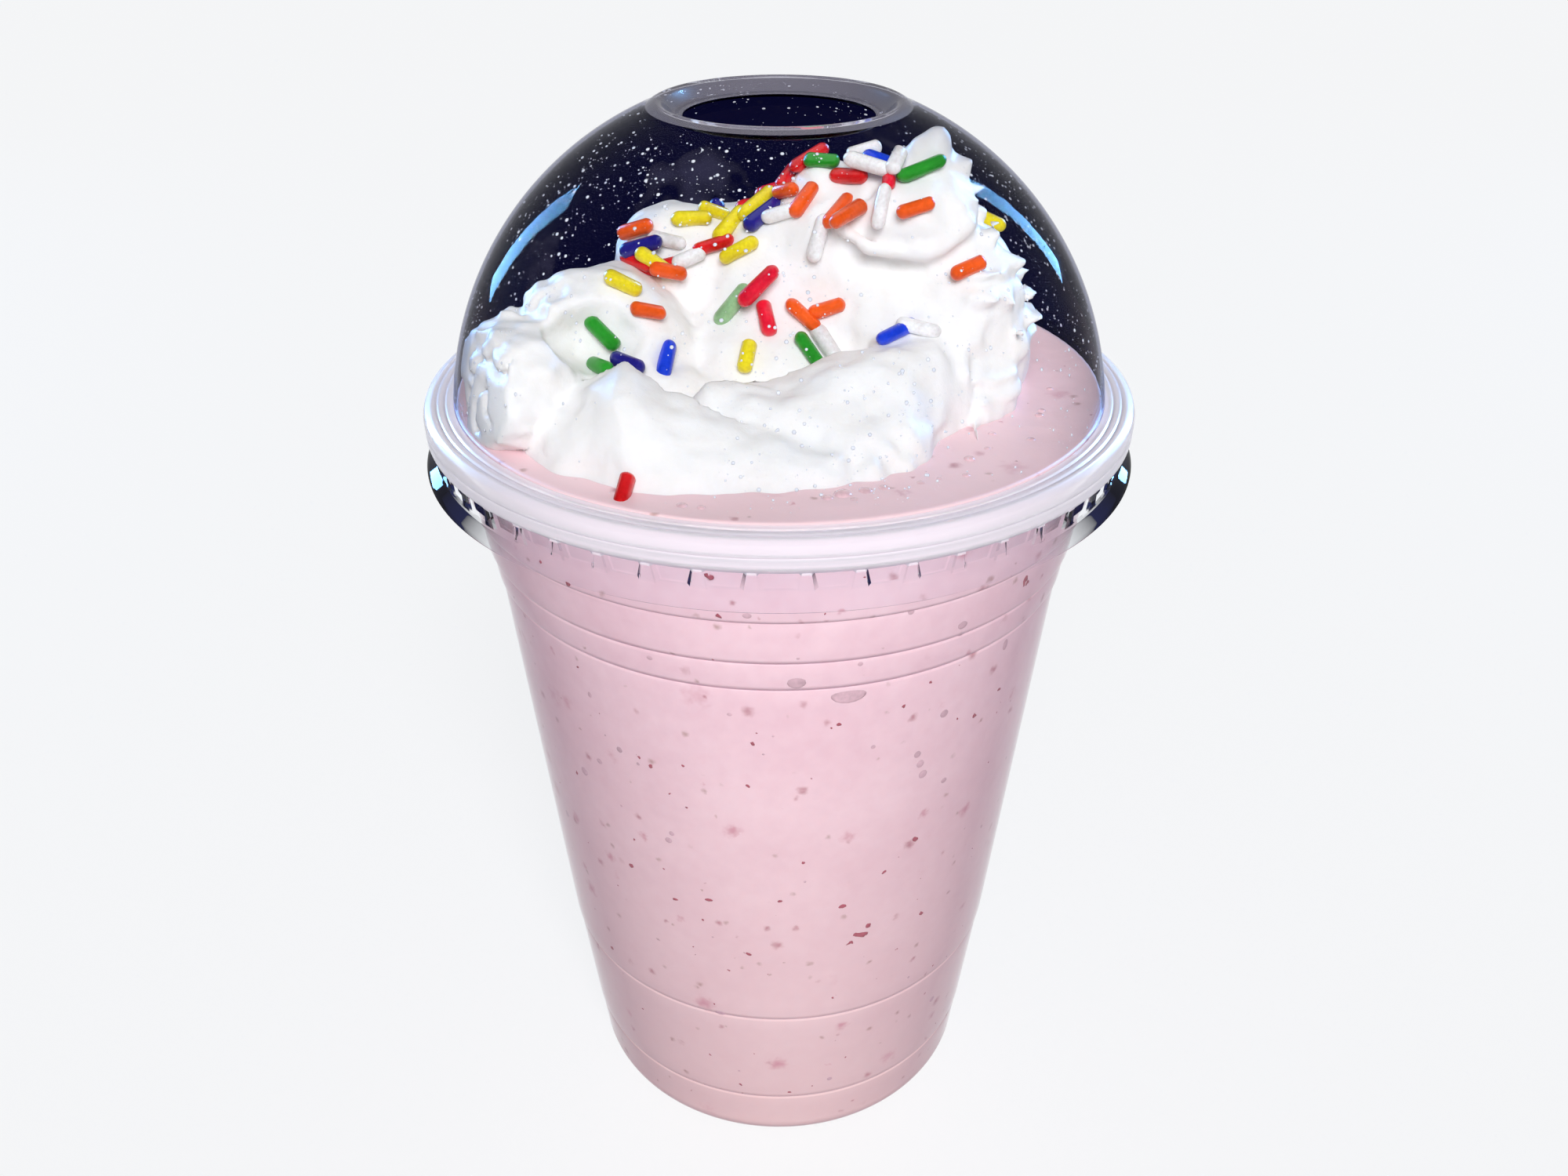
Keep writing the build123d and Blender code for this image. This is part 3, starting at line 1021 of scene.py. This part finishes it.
sprinkles = dict(
    radius=1.08, straight=1.7, sunk=0.35, seed=17, backEach=3, apart=2.6, lift=1.5,
    lengths=(4.5, 7.5), tries=12, turnBy=40, tilt=0.12, probe=1.2,
    # at the back: middle, how far from it, and how much shorter that is from front to back
    backMiddle=(8, 9), backReach=(4, 23), backDeep=0.8,
    # patches: x, y of the middle, how far they spread, which way most point, colours that fell there
    patches=[
        (-18, 0, 3.5, -20, "red orange red yellow white navy orange"),
        (-9, 1, 4.5, 20, "yellow yellow red yellow white yellow"),
        (-4, 3, 2.5, 30, "yellow navy"),
        (3, 2, 4, 10, "green orange red orange white red"),
        (12, 1, 3, -20, "blue white red white"),
        (17, -5, 3.5, 40, "orange green white crimson white"),
        (7, -6, 2.5, 60, "orange orange white orange"),
        (25, -9, 1, 45, "orange"),
        (18, -11, 3, 0, "blue white"),
        (-4, -7, 2.5, 75, "crimson mint crimson"),
        (5, -10, 2.5, -30, "green orange white"),
        (-4, -12, 1, 65, "yellow"),
        (-19, -11, 2.5, 0, "orange yellow"),
        (-22, -15, 3.5, -50, "green navy green"),
        (-16, -14, 1, -45, "blue"),
        (-19, -38, 0.5, 90, "red"),
    ],
    colours=dict(
        blue=(0.002, 0.045, 0.68), navy=(0.01, 0.006, 0.22), green=(0.015, 0.3, 0.015),
        mint=(0.3, 0.52, 0.26), red=(0.72, 0.004, 0.006), crimson=(0.82, 0.003, 0.03),
        orange=(0.95, 0.1, 0.002), yellow=(0.95, 0.74, 0.01), white=(0.95, 0.89, 0.87),
    ),
)


def sprinkleFinish(name, colour):
    darker = [value * 0.72 for value in colour]
    paler = [min(1, value * 1.15 + 0.012) for value in colour]
    inputs = {
        "Roughness": 0.32, "Coat Weight": 0.35, "Coat Roughness": 0.15, "Subsurface Weight": 0.1,
        "Subsurface Scale": 0.0006,
    }
    stops = [(0.34, darker), (0.66, paler)]
    return mottledMaterial(name, (260.0, 2200.0, 0.35), stops, inputs, ("Height", 0.3, 0.0001))


# what a sprinkle or a bubble would land on
creamTree = BVHTree.FromPolygons(
    [vertex.co / mm for vertex in creamHeap.data.vertices],
    [face.vertices[:] for face in creamHeap.data.polygons],
)
overAll = 300         # a height above everything


def dropOn(x, y):
    # the place and the slope where something that falls at x, y meets the cream
    return creamTree.ray_cast(Vector((x, y, overAll)), Vector((0, 0, -1)))[:2]


def levelWay(degrees):
    return Vector((math.cos(math.radians(degrees)), math.sin(math.radians(degrees)), 0))


def dropSprinkles(rng):
    # draws a place for every sprinkle, patch by patch, and a few more over the back of the heap
    rods = {colour: [] for colour in sprinkles["colours"]}
    taken = []
    for x, y, spread, heading, colours in sprinkles["patches"]:
        for colour in colours.split():
            best, most = None, -1.0
            for _ in range(sprinkles["tries"]):
                turn, reach = rng.uniform(0, wholeTurn), spread * math.sqrt(rng.random())
                spot = np.array((x + reach * math.cos(turn), y + reach * math.sin(turn)))
                room = min([np.linalg.norm(spot - other) for other in taken], default=1e3)
                if room > most:
                    best, most = spot, room
            over = sprinkles["lift"] * float(most < sprinkles["apart"])
            taken.append(best)
            way = heading + rng.uniform(-sprinkles["turnBy"], sprinkles["turnBy"])
            rods[colour].append((*best, way, rng.uniform(*sprinkles["lengths"]), over))
    backX, backY = sprinkles["backMiddle"]
    for colour in rods:
        for _ in range(sprinkles["backEach"] if colour != "mint" else 0):
            turn, reach = rng.uniform(0, math.pi), rng.uniform(*sprinkles["backReach"])
            x = backX + reach * math.cos(turn)
            y = backY + sprinkles["backDeep"] * reach * math.sin(turn)
            rods[colour].append((x, y, rng.uniform(-90, 90), rng.uniform(*sprinkles["lengths"]), 0.0))
    return rods


def makeSprinkles():
    rng = np.random.default_rng(sprinkles["seed"])
    radius, probe, tilt = sprinkles["radius"], sprinkles["probe"], sprinkles["tilt"]
    dropped = dropSprinkles(rng)
    for colour, tone in sprinkles["colours"].items():
        places, turns, sizes = [], [], []
        for x, y, heading, length, over in dropped[colour]:
            spot, normal = dropOn(x, y)
            if spot is None:
                spot, normal = Vector((x, y, drinkTop - 0.4)), Vector((0, 0, 1))
            wide = [
                dropOn(x + dx, y + dy)[1]
                for dx, dy in ((probe, 0), (-probe, 0), (0, probe), (0, -probe))
            ]
            normal = sum((other for other in wide if other is not None), normal).normalized()
            flat = levelWay(heading)
            along = (flat - normal * flat.dot(normal)).normalized()
            along = (along + normal * rng.uniform(-tilt, tilt)).normalized()
            places.append(spot + normal * (radius * (1 - sprinkles["sunk"]) + over))
            turns.append(turnTo(along, rng.uniform(0, 6)))
            wideness = radius * rng.uniform(0.9, 1.08)
            sizes.append((wideness, wideness, length / 2 / (1 + sprinkles["straight"])))
        scatter(
            colour + "Sprinkles", places, turns, sizes, sprinkleFinish(colour + "Sugar", tone),
            "cream", Segments=12, Rings=10, Straight_Part=sprinkles["straight"],
            Lump_Size=0.004, Lump_Height=0.0007,
        )


makeSprinkles()


def wallPlace(turn, height):
    # a place on the side of the drink: turn in degrees about the axis, 270 at the front
    radii = [radius - cup["wall"] for radius, level in sidePoints]
    levels = [level for radius, level in sidePoints]
    radius = float(np.interp(height, levels, radii))
    return levelWay(turn) * radius + Vector((0, 0, height))


bubbles = dict(
    # at the wall: degrees, height, half width, half height
    wall=[
        (273, 101.5, 1.45, 1.35), (282.5, 98.2, 2.6, 1.6), (303, 106.5, 1.0, 0.9),
        (303.5, 104.6, 0.6, 0.6),
        (284, 103.5, 0.5, 0.5), (298, 84.5, 0.75, 0.9), (299, 82.5, 0.8, 1.0), (300, 80.3, 0.9, 1.1),
        (306, 77, 0.7, 0.7), (318, 98, 0.7, 1.4), (261, 95, 0.5, 0.4), (247, 103, 0.6, 0.5),
        (231, 92, 0.5, 0.7), (265, 113, 0.7, 0.5), (288, 88, 0.5, 0.5), (292, 111, 0.6, 0.5),
    ],
    wallMore=70, wallSeed=3, wallHeights=(8, 119), wallDepth=0.2,
    # on the surface: x, y, half width
    top=[
        (8, -38.5, 1.3), (10.8, -37.6, 1.1), (13.2, -36.8, 0.9), (6, -39.6, 0.9), (9.3, -40.2, 0.8),
        (25, -28, 0.8), (29, -20, 0.6), (34, -22, 0.7), (37, -12, 0.6), (-12, -41.6, 0.8),
        (-9.6, -42, 0.6),
        (31, -29, 0.5), (24, -33, 0.6), (18, -35.5, 0.8), (20.4, -34.2, 0.6), (39.5, -4, 0.5),
    ],
    topMore=60, topSeed=4, topReach=(32, 45.5), topFlat=0.45,
    # colour is painted shade, the darker grey-pink of air gaps at the wall; froth is the froth bubbles' own
    # colour
    colour=(0.66, 0.42, 0.485), froth=(0.88, 0.58, 0.62),
)


def bubbleFinish(name, colour, shine):
    stops = [(0.35, [value * 0.8 for value in colour]), (0.65, [min(1, value * 1.15) for value in colour])]
    inputs = {"Roughness": shine, "Coat Weight": 0.5, "Coat Roughness": 0.05}
    return mottledMaterial(name, (300.0, 1500.0, 0.4), stops, inputs)


def makeBubbles():
    rng = np.random.default_rng(bubbles["wallSeed"])
    spots = list(bubbles["wall"])
    for _ in range(bubbles["wallMore"]):
        size = 0.25 + 0.75 * rng.random() ** 3
        turn, height = rng.uniform(0, 360), rng.uniform(*bubbles["wallHeights"])
        spots.append((turn, height, size, size * rng.uniform(0.8, 1.2)))
    places, turns, sizes = [], [], []
    for turn, height, half, tall in spots:
        places.append(wallPlace(turn, height))
        turns.append((0, 0, math.radians(turn)))
        sizes.append((bubbles["wallDepth"], half, tall))
    # the bubbles at the wall carry painted shade in their grey-pink
    scatter(
        "wallBubbles", places, turns, sizes, bubbleFinish("shadedBubbleAtWall", bubbles["colour"], 0.3),
        "shake", Segments=14, Rings=8, Straight_Part=0.0, Lump_Height=0.0,
    )
    rng = np.random.default_rng(bubbles["topSeed"])
    spots = list(bubbles["top"])
    while len(spots) < len(bubbles["top"]) + bubbles["topMore"]:
        turn, reach = rng.uniform(0, wholeTurn), rng.uniform(*bubbles["topReach"])
        size = 0.2 + 0.5 * rng.random() ** 2
        spots.append((reach * math.cos(turn), reach * math.sin(turn), size))
    places, turns, sizes = [], [], []
    for x, y, half in spots:
        if dropOn(x, y)[0] is not None:
            continue
        places.append((x, y, drinkTop - shake["meniscus"] - 0.05))
        turns.append((0, 0, 0))
        sizes.append((half, half, half * bubbles["topFlat"]))
    scatter(
        "frothBubbles", places, turns, sizes, bubbleFinish("froth", bubbles["froth"], 0.2),
        "shake", Segments=12, Rings=8, Straight_Part=0.0, Lump_Height=0.0,
    )


makeBubbles()

fruit = dict(
    # at the wall: degrees, height, half width, half height
    bits=[
        (289, 49.5, 1.5, 0.9), (286.5, 48, 0.8, 0.6), (291, 51, 0.5, 0.4), (293.5, 62, 0.6, 0.5),
        (275, 67, 0.55, 0.45), (284, 56.5, 0.8, 0.5), (241, 83.5, 0.8, 0.6), (244, 82.5, 0.9, 0.5),
        (318, 109, 0.7, 1.1), (262.5, 47, 0.7, 0.5), (257.5, 42.5, 0.5, 0.45), (290, 44, 0.4, 0.4),
        (246, 34.5, 0.6, 0.4), (281, 93, 0.5, 0.3), (299, 97, 0.5, 0.4), (266, 92, 0.4, 0.3),
        (251, 19, 0.8, 0.4), (300, 43, 0.5, 0.4), (306, 49, 0.5, 0.5), (237, 66, 0.4, 0.3),
        (229, 96, 0.5, 0.3), (312, 87, 0.5, 0.4), (246, 56, 0.5, 0.35), (270, 59, 0.35, 0.3),
    ],
    more=230, seed=8, heights=(6, 120), tilt=0.7, depth=0.19, colour=(0.40, 0.085, 0.12),
)


def makeFruit():
    rng = np.random.default_rng(fruit["seed"])
    spots = list(fruit["bits"])
    for _ in range(fruit["more"]):
        size = 0.14 + 0.62 * rng.random() ** 3
        turn, height = rng.uniform(0, 360), rng.uniform(*fruit["heights"])
        spots.append((turn, height, size, size * rng.uniform(0.5, 1)))
    places, turns, sizes = [], [], []
    for turn, height, half, tall in spots:
        places.append(wallPlace(turn, height))
        turns.append((rng.uniform(-fruit["tilt"], fruit["tilt"]), 0, math.radians(turn)))
        sizes.append((fruit["depth"], half, tall))
    scatter(
        "fruitBits", places, turns, sizes, bubbleFinish("strawberryBit", fruit["colour"], 0.45),
        "shake", Segments=8, Rings=6, Straight_Part=0.0, Lump_Size=0.0009, Lump_Height=0.0008,
    )


makeFruit()

dew = dict(
    count=2600, seed=21, smallest=0.05, largest=0.3, clusterCell=14.0, clusterSeed=61, flat=0.45,
    tones=[(0.3, (0.6, 0.64, 0.75)), (0.7, (0.9, 0.92, 0.97))],
)


def makeDew():
    # fine drops on the inside of the dome, thick in some patches and thin in others
    rng = np.random.default_rng(dew["seed"])
    reach = domeRadius - lid["wall"]
    lowest = math.acos((shelfTop + 1 - domeMiddle) / reach)
    highest = math.asin((lid["collarRadius"] + 0.6) / reach)
    places, turns, sizes = [], [], []
    while len(places) < dew["count"]:
        turn = rng.uniform(0, wholeTurn)
        down = math.acos(rng.uniform(math.cos(lowest), math.cos(highest)))
        flat = math.sin(down)
        out = np.array((flat * math.cos(turn), flat * math.sin(turn), math.cos(down)))
        spot = [np.array([value]) for value in out * reach]
        thick = latticeNoise(*spot, dew["clusterCell"], dew["clusterSeed"])[0]
        if rng.random() > np.clip(0.45 + 1.1 * thick, 0.04, 1):
            continue
        size = dew["smallest"] + (dew["largest"] - dew["smallest"]) * rng.random() ** 4
        places.append(out * reach + np.array((0, 0, domeMiddle)))
        turns.append(turnTo(out))
        sizes.append((size, size, size * dew["flat"]))
    inputs = {"Roughness": 0.1, "Coat Weight": 0.6}
    material = mottledMaterial("dewDrops", (400.0, 2000.0, 0.4), dew["tones"], inputs)
    scatter(
        "dewDrops", places, turns, sizes, material, "clear_lid",
        Segments=6, Rings=4, Straight_Part=0.0, Lump_Height=0.0,
    )


makeDew()

view = dict(place=(0, -0.1992, 0.2064), tiltDown=30.3, lens=32.9, sensor=36.0, shiftX=0.0031)
room = dict(
    floor=(0.85, 0.85, 0.85), pale=(0.93, 0.94, 0.955), size=12.0,
    fill=0.25, fillColour=(0.97, 0.98, 1.0),
    sun=2.75, sunWidth=32, sunFrom=(0.08, -0.8, 0.63), glow=0.74,
    floorGlow=(0.99, 1.0, 1.015),
)
strips = dict(
    colour=(0.2, 0.5, 1.0), target=(0, 0, 0.14),
    # name, place, width and height, power
    lamps=[
        ("leftStrip", (-0.62, 0.58, 0.34), (0.11, 0.4), 16.0),
        ("rightStrip", (0.60, 0.60, 0.42), (0.09, 0.5), 18.0),
    ],
)


def makeCamera():
    data = bpy.data.cameras.new("camera")
    data.lens = view["lens"]
    data.sensor_width = view["sensor"]
    data.shift_x = view["shiftX"]
    data.clip_start = 0.01
    camera = bpy.data.objects.new("camera", data)
    camera.location = view["place"]
    camera.rotation_euler = (math.radians(90 - view["tiltDown"]), 0, 0)
    bpy.context.scene.collection.objects.link(camera)
    bpy.context.scene.camera = camera


def seenDirectly(tree):
    # 1 for what the camera sees, by itself or in gloss or through clear plastic
    light = addNode(tree, "ShaderNodeLightPath").outputs
    seen = light["Is Camera Ray"]
    for ray in ("Is Glossy Ray", "Is Transmission Ray"):
        seen = mathNode(tree, "MAXIMUM", seen, light[ray])
    return seen


def makeWorld():
    world = bpy.data.worlds.new("paleRoom")
    world.use_nodes = True
    tree = world.node_tree
    tree.nodes.clear()
    inputs = {"Color": room["fillColour"], "Strength": room["fill"]}
    fill = addNode(tree, "ShaderNodeBackground", inputs).outputs[0]
    backdrop = addNode(tree, "ShaderNodeBackground", {"Color": room["pale"]}).outputs[0]
    last = mixShader(tree, seenDirectly(tree), fill, backdrop)
    addNode(tree, "ShaderNodeOutputWorld", {"Surface": last})
    bpy.context.scene.world = world


def makeFloor():
    # the shadow stays, and the rest of what is seen of the floor is as pale as the backdrop
    half = room["size"] / 2 / mm
    corners = [(-half, -half, 0), (half, -half, 0), (half, half, 0), (-half, half, 0)]
    piece = plainMesh("floor", corners, [(0, 1, 2, 3)], smooth=False)
    material, tree, surface = newMaterial("paleFloor", {
        "Base Color": room["floor"], "Roughness": 0.9, "Specular IOR Level": 0.1,
    })
    pale = addNode(tree, "ShaderNodeEmission", {"Color": room["floorGlow"]}).outputs[0]
    share = mathNode(tree, "MULTIPLY", seenDirectly(tree), room["glow"])
    showInstead(tree, mixShader(tree, share, surface.outputs[0], pale))
    piece.data.materials.append(material)


def makeLamp(name, kind, energy):
    data = bpy.data.lights.new(name, kind)
    data.energy = energy
    lamp = bpy.data.objects.new(name, data)
    lamp.visible_transmission = False
    bpy.context.scene.collection.objects.link(lamp)
    return lamp, data


def makeStrip(name, place, size, power):
    # a blue lamp that is seen only as a streak in gloss
    lamp, data = makeLamp(name, "AREA", power)
    data.shape = "RECTANGLE"
    data.size, data.size_y = size
    data.color = strips["colour"]
    lamp.location = place
    toward = Vector(strips["target"]) - Vector(place)
    lamp.rotation_euler = toward.to_track_quat("-Z", "Y").to_euler()
    lamp.visible_camera = False
    lamp.visible_diffuse = False


def makeSun():
    lamp, data = makeLamp("softSun", "SUN", room["sun"])
    data.angle = math.radians(room["sunWidth"])
    lamp.rotation_euler = Vector(room["sunFrom"]).to_track_quat("Z", "Y").to_euler()
    lamp.visible_glossy = False


makeCamera()
makeWorld()
makeFloor()
makeSun()
for strip in strips["lamps"]:
    makeStrip(*strip)

bpy.context.scene.view_settings.view_transform = "Standard"
